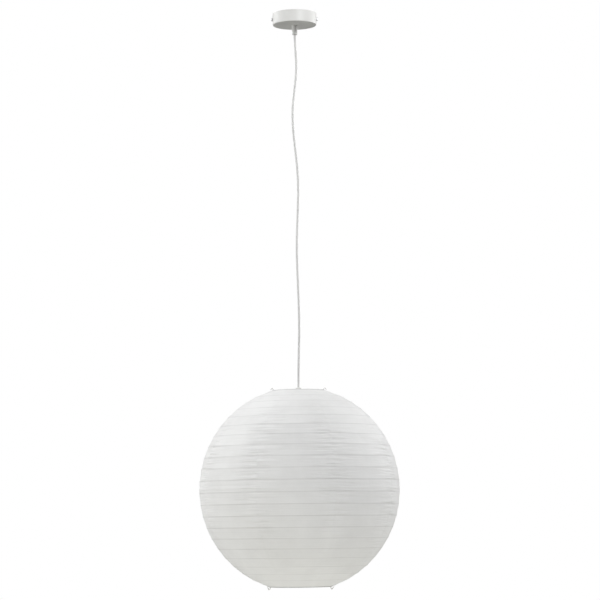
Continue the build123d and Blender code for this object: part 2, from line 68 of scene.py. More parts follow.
# ---------------------------------------------------------------- mesh helpers
def mesh_object(name, points, faces):
    """A smooth-shaded mesh object from points and faces."""
    mesh = bpy.data.meshes.new(name)
    places = np.asarray(points, float).reshape(-1, 3).tolist()
    mesh.from_pydata(places, [], [list(map(int, f)) for f in faces])
    mesh.validate()
    mesh.shade_smooth()
    piece = bpy.data.objects.new(name, mesh)
    bpy.context.scene.collection.objects.link(piece)
    return piece


def grid_faces(rows, columns):
    """Quads of a grid of points stored row by row, each row a closed loop."""
    i = np.arange(rows - 1)[:, None] * columns
    j = np.arange(columns)[None, :]
    k = (j + 1) % columns
    return np.stack([i + j, i + k, i + columns + k, i + columns + j], -1).reshape(-1, 4)


def applied(piece):
    """Turns the piece's modifiers into its mesh."""
    bpy.context.view_layer.update()
    graph = bpy.context.evaluated_depsgraph_get()
    evaluated = piece.evaluated_get(graph)
    mesh = bpy.data.meshes.new_from_object(evaluated, preserve_all_data_layers=True, depsgraph=graph)
    old = piece.data
    piece.modifiers.clear()
    piece.data = mesh
    bpy.data.meshes.remove(old)
    return piece


def joined(name, pieces):
    """Several mesh objects made into one."""
    points, faces, count = [], [], 0
    for piece in pieces:
        mesh = piece.data
        points += [piece.matrix_world @ v.co for v in mesh.vertices]
        faces += [[i + count for i in polygon.vertices] for polygon in mesh.polygons]
        count += len(mesh.vertices)
        bpy.data.objects.remove(piece)
    return mesh_object(name, points, faces)


ARC_STEPS = 6  # points on a rounded corner
ARC_SHARE = 0.45  # of the shorter side, the most that an arc may take
DOME = np.radians([75, 50, 25])  # angles up from its rim at which a domed end has points


def rounded(corners, radius):
    """A path through the corners, with each inner corner turned on an arc of about that radius."""
    corners = [Vector(c) for c in corners]
    path = [corners[0]]
    for before, corner, after in zip(corners, corners[1:], corners[2:]):
        a, b = (before - corner).normalized(), (after - corner).normalized()
        half = a.angle(b) / 2
        shorter = min((before - corner).length, (after - corner).length)
        reach = min(radius / math.tan(half), ARC_SHARE * shorter)
        start, end = corner + a * reach, corner + b * reach
        for s in np.linspace(0, 1, ARC_STEPS):
            path.append((1 - s) ** 2 * start + 2 * s * (1 - s) * corner + s**2 * end)
    return path + [corners[-1]]


def tube(name, path, radius, sides, round_ends=True):
    """A round rod along a path of points, with domed or plain closed ends."""
    path = [Vector(p) for p in path]
    runs = [(b - a).normalized() for a, b in zip(path, path[1:])]
    tangents = [runs[0], *[(a + b).normalized() for a, b in zip(runs, runs[1:])], runs[-1]]
    side = tangents[0].orthogonal().normalized()
    frames = []
    for point, tangent in zip(path, tangents):
        side = (side - tangent * side.dot(tangent)).normalized()
        frames.append((point, tangent, side.copy()))

    def domed(end, direction, angles):
        point, tangent, side = end
        along = tangent * direction * radius
        return [(point + along * math.sin(a), tangent, side, radius * math.cos(a)) for a in angles]

    ends = DOME if round_ends else []
    sections = domed(frames[0], -1, ends) + [(*f, radius) for f in frames]
    sections += domed(frames[-1], 1, ends[::-1])
    points = []
    for point, tangent, side, r in sections:
        other = tangent.cross(side)
        for a in np.arange(sides) * FULL_TURN / sides:
            points.append(point + (side * math.cos(a) + other * math.sin(a)) * r)
    faces = grid_faces(len(sections), sides).tolist()
    faces.append(list(range(sides))[::-1])
    faces.append([len(points) - sides + i for i in range(sides)])
    return mesh_object(name, points, faces)


# ---------------------------------------------------------------- material helpers
class Shader:
    """A short way to build a node material."""

    def __init__(self, name):
        self.material = bpy.data.materials.new(name)
        self.material.use_nodes = True
        self.tree = self.material.node_tree
        self.tree.nodes.clear()
        self.output = self.node("ShaderNodeOutputMaterial")

    def node(self, kind, **settings):
        made = self.tree.nodes.new(kind)
        for key, value in settings.items():
            if key in made.inputs.keys():
                self.feed(made.inputs[key], value)
            else:
                setattr(made, key, value)
        return made

    def feed(self, socket, value):
        if isinstance(value, bpy.types.NodeSocket):
            self.tree.links.new(value, socket)
        else:
            socket.default_value = value

    def math(self, operation, a, b=0.0, clamp=False):
        made = self.node("ShaderNodeMath", operation=operation, use_clamp=clamp)
        self.feed(made.inputs[0], a)
        self.feed(made.inputs[1], b)
        return made.outputs[0]

    def noise(self, place, scale, detail=3.0, roughness=0.5, distortion=0.0):
        settings = dict(Scale=scale, Detail=detail, Roughness=roughness, Distortion=distortion)
        made = self.node("ShaderNodeTexNoise", **settings)
        self.feed(made.inputs["Vector"], place)
        return made.outputs["Fac"]

    def ramp(self, value, low, high, to_low=0.0, to_high=1.0):
        settings = {"Value": value, "From Min": low, "From Max": high, "To Min": to_low, "To Max": to_high}
        return self.node("ShaderNodeMapRange", **settings).outputs[0]

    def mix(self, share, a, b):
        made = self.node("ShaderNodeMix", data_type="RGBA")
        self.feed(made.inputs[0], share)
        self.feed(made.inputs[6], a)
        self.feed(made.inputs[7], b)
        return made.outputs[2]

    def bump(self, height, distance, strength=1.0, normal=None):
        made = self.node("ShaderNodeBump", Distance=distance, Strength=strength, Height=height)
        if normal is not None:
            self.feed(made.inputs["Normal"], normal)
        return made.outputs[0]

    def attribute(self, name, output):
        return self.node("ShaderNodeAttribute", attribute_name=name).outputs[output]

    def stretched(self, place, stretch):
        return self.node("ShaderNodeMapping", Vector=place, Scale=stretch).outputs[0]

    def place(self, stretch=(1, 1, 1)):
        return self.stretched(self.node("ShaderNodeTexCoord").outputs["Object"], stretch)

    def blend(self, share, a, b):
        made = self.node("ShaderNodeMixShader")
        self.feed(made.inputs[0], share)
        self.tree.links.new(a, made.inputs[1])
        self.tree.links.new(b, made.inputs[2])
        return made.outputs[0]

    def finish(self, surface):
        self.tree.links.new(surface, self.output.inputs["Surface"])
        return self.material


COARSER = 0.04  # scale of the mottling against the scale of the grain
GRAIN_DEPTH = 0.00004
GLOSS_SPREAD = 0.15
WORN_METAL, WORN_PAINT = 1.12, 0.93  # brightness of worn edges against the rest
WORN_RANGE = (0.52, 0.58)  # pointiness at which wear begins and is full
WORN_MOST = 0.35
SOFT_DEPTH = (0.002, 0.002, 0.002)  # how far light travels inside plastic, red to blue


def shade_of(colour, factor):
    return tuple(min(1.0, c * factor) for c in colour) + (1.0,)


def solid_finish(
    name,
    colour,
    roughness,
    grain,
    mottle,
    depth=GRAIN_DEPTH,
    metallic=0.0,
    stretch=(1, 1, 1),
    coat=0.0,
    soft=0.0,
):
    """Painted, moulded or plated surface: fine bump, slight colour mottling and uneven gloss."""
    s = Shader(name)
    place = s.place(stretch)
    cloud = s.noise(place, grain * COARSER, 4.0, 0.6)
    fine = s.noise(place, grain, 2.0, 0.5)
    tone = s.mix(s.ramp(cloud, 0.3, 0.7), shade_of(colour, 1 - mottle), shade_of(colour, 1 + mottle))
    edge = s.node("ShaderNodeNewGeometry").outputs["Pointiness"]
    worn = shade_of(colour, WORN_METAL if metallic else WORN_PAINT)
    tone = s.mix(s.ramp(edge, *WORN_RANGE, 0.0, WORN_MOST), tone, worn)
    shiny, dull = roughness * (1 - GLOSS_SPREAD), min(1.0, roughness * (1 + GLOSS_SPREAD))
    gloss = s.ramp(cloud, 0.25, 0.75, shiny, dull)
    surface = s.node("ShaderNodeBsdfPrincipled", Metallic=metallic)
    surface.inputs["Coat Weight"].default_value = coat
    surface.inputs["Subsurface Weight"].default_value = soft
    surface.inputs["Subsurface Radius"].default_value = SOFT_DEPTH
    s.feed(surface.inputs["Base Color"], tone)
    s.feed(surface.inputs["Roughness"], gloss)
    s.feed(surface.inputs["Normal"], s.bump(fine, depth))
    return s.finish(surface.outputs[0])


PAPER_DULL = (0.90, 0.90, 0.896, 1)
PAPER_BRIGHT = (0.935, 0.935, 0.931, 1)
PULP_TONE = (0.87, 0.87, 0.863, 1)
FIBRE_TONE = (0.97, 0.97, 0.965, 1)
# painted highlight: a light line just above each wire
WIRE_HIGHLIGHT_TONE = (0.98, 0.98, 0.975, 1)
# painted shadow: a dark line under each wire, for the wire's shadow and the crease over it
WIRE_SHADOW_TONE = (0.62, 0.62, 0.61, 1)
LAP_TONE = (0.86, 0.86, 0.855, 1)
# partly the doubled paper round the rim rings, partly painted shade along the rims
HEM_AND_PAINTED_SHADE_TONE = (0.42, 0.42, 0.41, 1)
# painted shade where the paper is seen at a glancing angle
GLANCING_SHADE_TONE = (0.55, 0.55, 0.55, 1)
# scale, detail, roughness and distortion of the paper's noises
CLOUDS = (22.0, 5.0, 0.6)
PULP = (260.0, 4.0, 0.65)
STRANDS = (120.0, 2.0, 0.4, 1.6)
STRAND_PATCHES = (45.0,)
LINE_PATCHES = (9.0, 2.0)
CRUMPLES = (70.0, 3.0, 0.55)
FINE_CREASES = (1.0, 2.0, 0.5)
CREASE_STRETCH = (14, 14, 210)  # they run round the shade
STRAND_WIDTH = 0.018
WIRE_SHADOW_LINE = 0.0004  # middle of the painted shadow line, below the wire's middle
WIRE_SHADOW_EDGE = (0.0003, 0.0013)  # distances from its middle between which it fades
WIRE_SHADOW_HEIGHTS = (-1.18, -1.02)  # heights between which the painted shadow grows weaker upwards
WIRE_SHADOW_STRENGTHS = (1.4, 0.95)
WIRE_HIGHLIGHT_LINE = 0.0018  # middle of the painted highlight line, above the wire's middle
WIRE_HIGHLIGHT_EDGE = (0.0003, 0.0014)
# facing at which the painted glancing shade starts, and its strongest share
GLANCING_FROM, GLANCING_MOST = 0.86, 0.35
# depth and strength of the paper's bumps
CRUMPLE_BUMP = (0.0007, 0.4)
CREASE_BUMP = (0.003, 0.9)
PULP_BUMP = (0.00008, 0.8)
LET_THROUGH = 0.46  # share of the surface that scatters light to its other side
WIRE_BLOCKS, LAYER_BLOCKS = 0.14, 0.07  # taken off that share over a wire and in a double layer


def paper_finish():
    """Thin fibrous paper that lets light through: darker laps, a painted shadow under each wire with a painted
    highlight above it, darker hems that are partly painted shade, and painted shade at glancing angles.
    """
    s = Shader("mulberry_paper")
    rest = s.attribute("rest_place", "Vector")
    rib_gap, lap, hem, pucker = (s.attribute(n, "Fac") for n in ("rib_gap", "lap", "hem", "pucker"))

    def line(value, middle, near, far):
        apart = s.math("ABSOLUTE", s.math("SUBTRACT", value, middle))
        return s.ramp(apart, near, far, 1.0, 0.0)

    cloud, pulp = s.noise(rest, *CLOUDS), s.noise(rest, *PULP)
    fibre = line(s.noise(rest, *STRANDS), 0.5, 0.0, STRAND_WIDTH)
    fibre = s.math("MULTIPLY", fibre, s.ramp(s.noise(rest, *STRAND_PATCHES), 0.5, 0.62))
    patchy = s.ramp(s.noise(rest, *LINE_PATCHES), 0.38, 0.62, 0.45, 1.0)
    height = s.node("ShaderNodeSeparateXYZ", Vector=rest).outputs["Z"]
    # painted shadow line under each wire, patchy along it
    wire = s.math("MULTIPLY", line(rib_gap, WIRE_SHADOW_LINE, *WIRE_SHADOW_EDGE), patchy)
    wire = s.math("MULTIPLY", wire, s.ramp(height, *WIRE_SHADOW_HEIGHTS, *WIRE_SHADOW_STRENGTHS))
    # painted highlight line above each wire
    glint = line(rib_gap, -WIRE_HIGHLIGHT_LINE, *WIRE_HIGHLIGHT_EDGE)
    tone = s.mix(s.ramp(cloud, 0.35, 0.65), PAPER_DULL, PAPER_BRIGHT)
    tone = s.mix(s.ramp(pulp, 0.35, 0.75, 0.0, 0.25), tone, PULP_TONE)
    marks = (
        (fibre, 0.35, FIBRE_TONE),
        (glint, 0.30, WIRE_HIGHLIGHT_TONE),
        # painted shadow under each wire
        (wire, 0.40, WIRE_SHADOW_TONE),
        (lap, 0.1, LAP_TONE),
        # doubled paper at the hems, partly painted shade
        (hem, 0.8, HEM_AND_PAINTED_SHADE_TONE),
    )
    for mark, strength, colour in marks:
        tone = s.mix(s.math("MULTIPLY", mark, strength), tone, colour)
    # painted shade at glancing angles
    facing = s.node("ShaderNodeLayerWeight", Blend=0.5).outputs["Facing"]
    tone = s.mix(s.ramp(facing, GLANCING_FROM, 1.0, 0.0, GLANCING_MOST), tone, GLANCING_SHADE_TONE)
    creases = s.math("MULTIPLY", s.noise(s.stretched(rest, CREASE_STRETCH), *FINE_CREASES), pucker)
    normal = s.bump(s.noise(rest, *CRUMPLES), *CRUMPLE_BUMP)
    normal = s.bump(creases, *CREASE_BUMP, normal)
    normal = s.bump(s.math("ADD", pulp, s.math("MULTIPLY", fibre, 0.5)), *PULP_BUMP, normal)
    surface = s.node("ShaderNodeBsdfPrincipled", Roughness=0.82)
    surface.inputs["Specular IOR Level"].default_value = 0.25
    s.feed(surface.inputs["Base Color"], tone)
    s.feed(surface.inputs["Normal"], normal)
    through = s.node("ShaderNodeBsdfTranslucent")
    s.feed(through.inputs["Color"], tone)
    s.feed(through.inputs["Normal"], normal)
    two_layers = s.math("MULTIPLY", s.math("ADD", lap, hem), LAYER_BLOCKS)
    blocked = s.math("ADD", s.math("MULTIPLY", wire, WIRE_BLOCKS), two_layers)
    share = s.math("SUBTRACT", LET_THROUGH, blocked, clamp=True)
    return s.finish(s.blend(share, surface.outputs[0], through.outputs[0]))


def dress(piece, material):
    piece.data.materials.clear()
    piece.data.materials.append(material)


# ---------------------------------------------------------------- paper shade
PAPER = 0.25 * MM
WIRE_GAP = 0.1 * MM  # between the paper and the wires
HEM = 8 * MM
HEM_TURN = 7  # rows of points round a rim ring
HEM_SHARES = (1.0, 0.66, 0.33)  # rows of points of the flap, from its free edge
HEM_GAP = 2.2 * PAPER  # from the middle of the outer paper to the middle of that edge
HEM_SHADE = 0.3  # darkness of the flap inside, where the turn round the ring is 1; partly the doubled paper, partly painted shade
RIM_LINE = 2.1 * MM  # width of the painted shade line along each rim
RIM_SHADE = (0.45, 1.0)  # darkness of that painted shade at the top and at the bottom
OVER_HOOPS = 1.5 * MM  # from the middle of the wires to the paper, when the shade is flat
FLAT_GAP = 0.2 * MM  # left between the middle band and its hoops, when the shade is flat
FLAT_NEAR = 0.3 * MM  # height past its wire's reach at which the band still gives way
GORES = 8
GORE_START = math.radians(-25)
GORE_PITCH = FULL_TURN / GORES
LAP = 6 * MM
LAP_STEP = 0.12 * MM  # rise of the upper gore over the lower
LAP_RUN = 0.6 * MM  # half the width of that rise
LAP_EDGE = 0.3 * MM  # how far the lap's tone reaches past it
PAST_LAP = 1.4 * LAP  # where the plain columns start again
SIDE_COLUMNS = 9  # columns of points from a seam to the middle of its gore
SIDE_SPREAD = 1.5  # above 1 crowds those columns towards the seam
NEAR_RIB = (0.8 * MM, 2.0 * MM, 3.6 * MM)  # rows of points close to a wire
OPEN_STEPS = 5  # rows of points in the open part of a band

# The loose shape of a band
LOOSEST_BAND, LOOSE_BANDS = 7, 4.5  # counted from the top, and how many to each side are loose
END_SLACK, LEAST_SLACK = 0.35, 0.45
BEAD = 0.16 * MM  # how far the wire stands up under the paper
BEAD_RUN = 1.0 * MM
SAG, SAG_SPREAD = 0.45 * MM, 0.4
DRIFT = 0.14 * MM  # small waves all round
OCTAVE_FALL, WAVE_SIZE = 1.6, 1.3  # how random waves grow weaker, and what brings their sum to about 1
SEAM_REACH = 55 * MM  # how far from a seam the paper droops and tucks
DROOP, DROOP_UP, DROOP_RUN = 1.0 * MM, 3.2 * MM, 2.2 * MM  # loose fold above the lower wire
TUCK, TUCK_DOWN, TUCK_RUN = 1.5 * MM, 2.2 * MM, 1.4 * MM  # inward fold under the upper wire
FOLD_MOST = 1.4
CREASES = (2, 5)  # at each side of a seam in a band there are 2 to 4 creases
CREASE_PLACE = (0.1, 0.9)  # share of the band's width
CREASE_REACH = (14, 48)  # mm, as are the depth and spread
CREASE_DEPTH = (0.4, 1.25)
CREASE_SPREAD = (1.9, 3.4)
CREASE_SLOPE = 0.035
PINCH, LEAST_PINCH = 9 * MM, 0.25  # a crease grows from its seam over this length, from this share
PUCKER_REACH = 44 * MM
PUCKER_EVERYWHERE, PUCKER_AT_SEAM = 0.06, 1.15  # strength of the fine creases


def ring_place(node):
    """Radius and height of a wire ring's middle line, and its wire's radius."""
    low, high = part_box(node)
    wire = (high.z - low.z) / 2
    return (high.x - low.x) / 2 - wire, (high.z + low.z) / 2, wire


RIBS = [ring_place(n) for n in ["top_rim_ring", *HOOPS, "bottom_rim_ring"]]
WIDEST = max(r[0] for r in RIBS)
WIDEST_RIB = [r[0] for r in RIBS].index(WIDEST)
TOP_R, TOP_Z, _ = RIBS[0]
BOTTOM_R, BOTTOM_Z, BOTTOM_WIRE = RIBS[-1]
COLLAPSE = next(j for j in frame["joints"] if j["name"] == "shade_collapse")
FLAT = 1 - COLLAPSE["range_m"][1] / (TOP_Z - BOTTOM_Z)  # share of its height the folded shade keeps


def square(place, following):
    """Unit vector out of the shade, square to the band from one rib to the next, as (radial, z)."""
    run = np.array(following[:2]) - np.array(place[:2])
    run /= np.linalg.norm(run)
    return np.array([-run[1], run[0]])


def skin_ribs():
    """Where the paper lies over each rib: (radial, z) points, outward directions there and in each band."""
    bands = [square(a, b) for a, b in zip(RIBS, RIBS[1:])]
    between = [(a + b) / np.linalg.norm(a + b) for a, b in zip(bands, bands[1:])]
    outward = [bands[0], *between, bands[-1]]
    places = [np.array(r[:2]) + o * (r[2] + WIRE_GAP + PAPER / 2) for r, o in zip(RIBS, outward)]
    return places, outward, bands


def smooth(x):
    x = np.clip(x, 0, 1)
    return x * x * (3 - 2 * x)


def bell(x):
    return np.exp(-(x**2))


def open_share(share):
    """0 at a band's wires and 1 half-way between them."""
    return 4 * share * (1 - share)


def wander(rng, angles, waves, octaves=3):
    """A smooth random wave round the shade, within about -1 to 1, that meets itself."""
    total = np.zeros_like(angles)
    for octave in range(octaves):
        for count in range(waves * 2**octave, waves * 2**octave + waves):
            height = rng.normal() / (OCTAVE_FALL**octave)
            total += height * np.cos(count * angles + rng.uniform(0, FULL_TURN))
    return total / (math.sqrt(waves) * WAVE_SIZE)


def come_and_go(rng, angles, waves, bias):
    """Strength of a fold round the shade, 0 where it is missing."""
    return np.clip(wander(rng, angles, waves) + bias, 0, FOLD_MOST)


def paper_angles():
    """Angles round the shade, closer together near each seam and at the edges of its overlap."""
    side = GORE_PITCH / 2 * np.linspace(0, 1, SIDE_COLUMNS + 1)[1:] ** SIDE_SPREAD
    lap_edges = np.array([-LAP_RUN, LAP_RUN, LAP - LAP_RUN, LAP + LAP_RUN]) / WIDEST
    gore = np.concatenate([-side[:-1], lap_edges, side[side > PAST_LAP / WIDEST]])
    gores = [GORE_START + GORE_PITCH * n + gore for n in range(GORES)]
    return np.sort(np.concatenate(gores) % FULL_TURN)


def gap_to_seam(angles):
    """Signed angle from the nearest gore seam, and which seam that is."""
    turns = (angles - GORE_START) / GORE_PITCH
    nearest = np.round(turns)
    return (turns - nearest) * GORE_PITCH, nearest.astype(int) % GORES


def band_rows(width):
    """Distances from a band's upper rib at which its rows of points lie."""
    middle = np.linspace(NEAR_RIB[-1], width - NEAR_RIB[-1], OPEN_STEPS + 2)[1:-1]
    return [0.0, *NEAR_RIB, *middle, *[width - d for d in NEAR_RIB[::-1]]]


def slackness(band):
    """How loose the paper is: most above the middle, least in the straight end bands."""
    if band in (0, len(RIBS) - 2):
        return END_SLACK
    return LEAST_SLACK + (1 - LEAST_SLACK) * bell((band - LOOSEST_BAND) / LOOSE_BANDS)


class Slack:
    """The loose shape of one band of paper between two ribs."""

    def __init__(self, rng, angles, band, width):
        self.seam_gap, self.seam = gap_to_seam(angles)
        self.width = width
        slack = slackness(band)
        self.sag = SAG * slack * (1 + SAG_SPREAD * wander(rng, angles, 5))
        self.drift = DRIFT * slack * wander(rng, angles, 22, 2)
        near_seam = slack * bell(self.seam_gap * WIDEST / SEAM_REACH)
        self.droop = DROOP * near_seam * come_and_go(rng, angles, 5, 0.4)
        self.tuck = TUCK * near_seam * come_and_go(rng, angles, 7, 0.3)
        self.creases = []
        for seam in range(GORES):
            for side in (-1, 1):
                mine = (self.seam == seam) & (self.seam_gap * side >= 0)
                for _ in range(rng.integers(*CREASES)):
                    self.creases.append(
                        {
                            "mine": mine,
                            "place": rng.uniform(*CREASE_PLACE) * width,
                            "reach": rng.uniform(*CREASE_REACH) * MM,
                            "depth": rng.choice((-1, 1)) * rng.uniform(*CREASE_DEPTH) * MM * slack,
                            "spread": rng.uniform(*CREASE_SPREAD) * MM,
                            "slope": rng.normal(0, CREASE_SLOPE),
                        }
                    )

    def lift(self, down, radius):
        """How far the paper stands out, at a distance below the upper rib, all round."""
        up = self.width - down
        belly = open_share(down / self.width)
        broad = belly**0.5
        along = np.abs(self.seam_gap) * radius
        pinch = smooth(LEAST_PINCH + along / PINCH)
        lift = -self.sag * belly + self.drift * belly**0.7
        lift += self.droop * bell((up - DROOP_UP) / DROOP_RUN) * broad
        lift -= self.tuck * bell((down - TUCK_DOWN) / TUCK_RUN) * broad
        for c in self.creases:
            fold = bell((down - c["place"] - c["slope"] * along) / c["spread"])
            lift += c["depth"] * fold * bell(along / c["reach"]) * c["mine"] * pinch * broad
        return lift - BEAD * (1 - bell(min(down, up) / BEAD_RUN))


def flat_height(z):
    """Where a height ends when the shade folds flat."""
    return TOP_Z + (z - TOP_Z) * FLAT


def least_lift(share):
    """How far the middle band must stand out, at a share of its width, to clear its hoops when flat."""
    (high_r, high_z, wire), (low_r, low_z, _) = RIBS[WIDEST_RIB - 1], RIBS[WIDEST_RIB]
    high_z, low_z = flat_height(high_z), flat_height(low_z)
    height = high_z + OVER_HOOPS - share * (high_z - low_z + 2 * OVER_HOOPS)
    straight = high_r + (low_r - high_r) * share + wire + WIRE_GAP + PAPER / 2
    clear = wire + PAPER / 2 + FLAT_GAP
    lifts = [-math.inf]
    for radius, z in ((high_r, high_z), (low_r, low_z)):
        if abs(height - z) < clear + FLAT_NEAR:
            lifts.append(radius + math.sqrt(max(0, clear**2 - (height - z) ** 2)) - straight)
    return max(lifts)


def hem_path(rib, direction, run):
    """The paper turned in round a rim ring, from its free edge: places, outward directions, darkness."""
    centre, reach = np.array(rib[:2]), rib[2] + WIRE_GAP + PAPER / 2
    path = []
    for share in HEM_SHARES:
        inward = -reach + (2 * reach - HEM_GAP) * smooth(share)
        path.append((centre + run * HEM * share + direction * inward, -direction, HEM_SHADE))
    for turn in np.linspace(math.pi, 0, HEM_TURN)[:-1]:
        out = direction * math.cos(turn) - run * math.sin(turn)
        path.append((centre + out * reach, out, 1.0))
    return path


def paper_rows(angles, places, outward, bands):
    """Rows of points from one hem's free edge to the other's, their values, and each band's first row."""
    rng = np.random.default_rng(SEED)
    seam_gap, _ = gap_to_seam(angles)
    rows, values, rib_rows = [], {"rib_gap": [], "lap": [], "hem": [], "pucker": []}, []

    def row(place, lift, direction, rib_gap=0.0, hem=0.0, slack=0.0):
        radial = place[0] + direction[0] * lift + 0 * angles
        height = place[1] + direction[1] * lift + 0 * angles
        rows.append(np.stack([radial * np.sin(angles), -radial * np.cos(angles), height], 1))
        along = seam_gap * place[0]
        values["rib_gap"].append(np.full(len(angles), rib_gap))
        values["lap"].append(((along > -LAP_EDGE) & (along < LAP + LAP_EDGE)).astype(float))
        values["hem"].append(np.full(len(angles), hem))
        near_seam = bell(along / PUCKER_REACH)
        values["pucker"].append(slack * (PUCKER_EVERYWHERE + PUCKER_AT_SEAM * near_seam))

    ends = []
    for rib, band, near, other in ((RIBS[0], bands[0], 0, 1), (RIBS[-1], bands[-1], -1, -2)):
        run = places[other] - places[near]
        ends.append(hem_path(rib, band, run / np.linalg.norm(run)))
    for place, out, dark in ends[0]:
        row(place, 0.0, out, hem=dark)
    for k in range(len(bands)):
        start, end = places[k], places[k + 1]
        width = np.linalg.norm(end - start)
        slack = Slack(rng, angles, k, width)
        rib_rows.append(len(rows))
        for down in band_rows(width):
            share = down / width
            place = start + (end - start) * share
            direction = outward[k] * (1 - share) + outward[k + 1] * share
            direction = direction / np.linalg.norm(direction)
            along = seam_gap * place[0]
            rise, fall = along + LAP_RUN, LAP + LAP_RUN - along
            lap = smooth(rise / (2 * LAP_RUN)) * smooth(fall / (2 * LAP_RUN))
            lift = slack.lift(down, place[0]) + LAP_STEP * lap
            if k == WIDEST_RIB - 1:
                lift = np.maximum(lift, least_lift(share))
            rib_gap = down if share < 0.5 else down - width
            from_rim = {0: down, len(bands) - 1: width - down}.get(k, width)
            # painted shade along each rim, darker at the bottom rim
            dark = RIM_SHADE[k > 0] if from_rim < RIM_LINE else 0.0
            row(place, lift, direction, rib_gap, dark, slackness(k) * open_share(share) ** 0.5)
    row(places[-1], 0.0, outward[-1], hem=1.0)
    for place, out, dark in ends[1][::-1]:
        row(place, 0.0, out, hem=dark)
    return rows, values, rib_rows


def build_paper():
    """The skin in three parts that meet at the two widest hoops, and the heights where they meet."""
    angles = paper_angles()
    places, outward, bands = skin_ribs()
    rows, values, rib_rows = paper_rows(angles, places, outward, bands)
    cuts = (0, rib_rows[WIDEST_RIB - 1], rib_rows[WIDEST_RIB], len(rows) - 1)
    pieces = []
    for part, first, last in zip(("upper", "middle", "lower"), cuts, cuts[1:]):
        points = np.concatenate(rows[first : last + 1])
        piece = mesh_object(f"paper_{part}", points, grid_faces(last + 1 - first, len(angles)))
        for name, parts in values.items():
            attribute = piece.data.attributes.new(name, "FLOAT", "POINT")
            level = np.concatenate(parts[first : last + 1]).astype(np.float32)
            attribute.data.foreach_set("value", level)
        rest = piece.data.attributes.new("rest_place", "FLOAT_VECTOR", "POINT")
        rest.data.foreach_set("vector", points.astype(np.float32).ravel())
        shell = piece.modifiers.new("shell", "SOLIDIFY")
        shell.thickness = PAPER
        shell.offset = 0.0
        pieces.append(applied(piece))
    return pieces, places[WIDEST_RIB - 1][1], places[WIDEST_RIB][1]


def fold_flat(pieces, high, low):
    """Puts each part of the skin on the shade's body and hides the CAD paper; where each part would be anchored
    and how much it would keep when flat is worked out but not applied.
    """
    lift = OVER_HOOPS / (1 - FLAT)
    high_end, low_end = flat_height(high) + OVER_HOOPS, flat_height(low) - OVER_HOOPS
    middle_keep = (high_end - low_end) / (high - low)
    middle_anchor = (high_end - middle_keep * high) / (1 - middle_keep)
    folds = ((TOP_Z + lift, FLAT), (middle_anchor, middle_keep), (TOP_Z - lift, FLAT))
    for piece, (anchor, share) in zip(pieces, folds):
        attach(piece, "shade")
        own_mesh(piece)
        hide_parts("paper_shade")


PAPER_PIECES, MIDDLE_HIGH, MIDDLE_LOW = build_paper()
PAPER_LOOK = paper_finish()
for piece in PAPER_PIECES:
    dress(piece, PAPER_LOOK)
fold_flat(PAPER_PIECES, MIDDLE_HIGH, MIDDLE_LOW)

# ---------------------------------------------------------------- spreader legs
LEG_SIDES = 14
LEG_POINTS = 60  # along the straight of a leg
LEG_CORNER = 1.3 * MM
HOOK_SPREAD = 4.1 * MM
HOOK_HEEL = 0.6 * MM
HOOK_DROP = 8.2 * MM
HOOK_TIP = 2.7 * MM
SHOULDER = 12 * MM
STOP_GAP = 0.5 * MM  # between the bottom ring and the stop above it
STOP_IN, STOP_OUT = 7.5 * MM, 0.3 * MM  # ends of the stop, from the ring's middle line


def build_leg(side, node):
    """A spring wire leg with its bottom hook and the short stop that keeps the ring on the hook."""
    low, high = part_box(node)
    wire = (high.y - low.y) / 2
    top = (side * (TOP_R - HOOK_SPREAD), 0, TOP_Z - SHOULDER)
    corners = [
        top,
        (side * (BOTTOM_R - HOOK_SPREAD), 0, BOTTOM_Z - HOOK_HEEL),
        (side * BOTTOM_R, 0, BOTTOM_Z - HOOK_DROP),
        (side * (BOTTOM_R + HOOK_SPREAD), 0, BOTTOM_Z - HOOK_TIP),
    ]
    path = rounded(corners, LEG_CORNER)
    start, heel = Vector(path[0]), Vector(path[1])
    path = [start.lerp(heel, t) for t in np.linspace(0, 1, LEG_POINTS)] + path[2:]
    rod = tube("rod", path, wire, LEG_SIDES)
    stop_z = BOTTOM_Z + BOTTOM_WIRE + wire + STOP_GAP
    stop_ends = [(side * (BOTTOM_R - STOP_IN), 0, stop_z), (side * (BOTTOM_R + STOP_OUT), 0, stop_z)]
    stop = tube("stop", stop_ends, wire, LEG_SIDES)
    leg = joined(f"spring_leg_{'left' if side < 0 else 'right'}", [rod, stop])
    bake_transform(leg)
    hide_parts(node)
    return leg


LEGS = [build_leg(-1, "spreader_leg_left"), build_leg(1, "spreader_leg_right")]

# ---------------------------------------------------------------- cord
# distance down the cord, sideways to the right and back, in mm
CORD_WAVES = (
    (0, 0, 0),
    (76, 2.6, 0.8),
    (170, -6.4, -1.5),
    (319, 3.3, 1.5),
    (476, -0.2, -1.0),
    (651, 3.1, 0.6),
)
CORD_SIDES = 20
CORD_POINTS = 280
CORD_OVERLAP = 0.1 * MM  # how far the free cord runs into its fixed ends


def clamped_spline(knots, values, at):
    """Cubic through the values, flat at both ends, as the cord leaves the grip and enters the holder."""
    n, gaps, climbs = len(knots), np.diff(knots), np.diff(values)
    system, right = np.zeros((n, n)), np.zeros(n)
    system[0, 0] = system[-1, -1] = 1
    for i in range(1, n - 1):
        system[i, i - 1 : i + 2] = 1 / gaps[i - 1], 2 * (1 / gaps[i - 1] + 1 / gaps[i]), 1 / gaps[i]
        right[i] = 3 * (climbs[i - 1] / gaps[i - 1] ** 2 + climbs[i] / gaps[i] ** 2)
    slopes = np.linalg.solve(system, right)
    i = np.clip(np.searchsorted(knots, at) - 1, 0, n - 2)
    t = (at - knots[i]) / gaps[i]
    return (
        (1 + 2 * t) * (1 - t) ** 2 * values[i]
        + t * (1 - t) ** 2 * gaps[i] * slopes[i]
        + t**2 * (3 - 2 * t) * values[i + 1]
        + t**2 * (t - 1) * gaps[i] * slopes[i + 1]
    )


